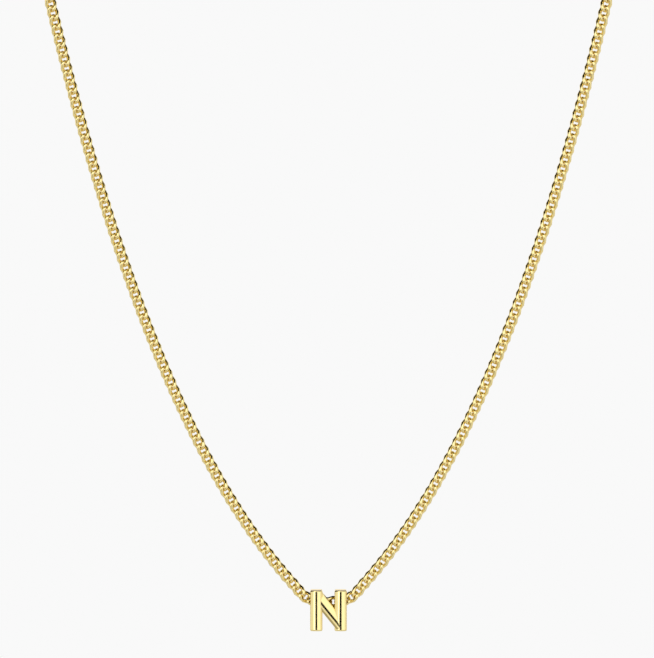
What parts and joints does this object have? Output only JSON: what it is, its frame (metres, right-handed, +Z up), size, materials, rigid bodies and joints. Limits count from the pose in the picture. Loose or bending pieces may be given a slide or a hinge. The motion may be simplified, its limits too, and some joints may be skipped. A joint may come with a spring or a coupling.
{
  "type": "initial pendant necklace",
  "caption": "Small block initial with rounded strokes, threaded on a fine curb chain that closes round the neck.",
  "frame": {"origin": "the point of the nape where the clasp's inner side rests", "axes": "+Z up, -Y towards the front, where the letter hangs and faces, +X to the right as the picture shows it"},
  "size_m": [0.0968, 0.0882, 0.1361],
  "materials": {
    "gold": "polished, yellow gold plated"
  },
  "bodies": {
    "necklace": {"chain_front_left": "gold", "chain_front_right": "gold", "chain_back_left": "gold", "chain_back_right": "gold", "clasp": "gold"},
    "pendant": {"initial_letter": "gold"}
  },
  "joints": [
    {"name": "pendant_swing", "type": "hinge", "parent": "necklace", "child": "pendant", "pos_m": [0, -0.0855, -0.12906], "axis": [1, 0, 0], "continuous": true}
  ]
}
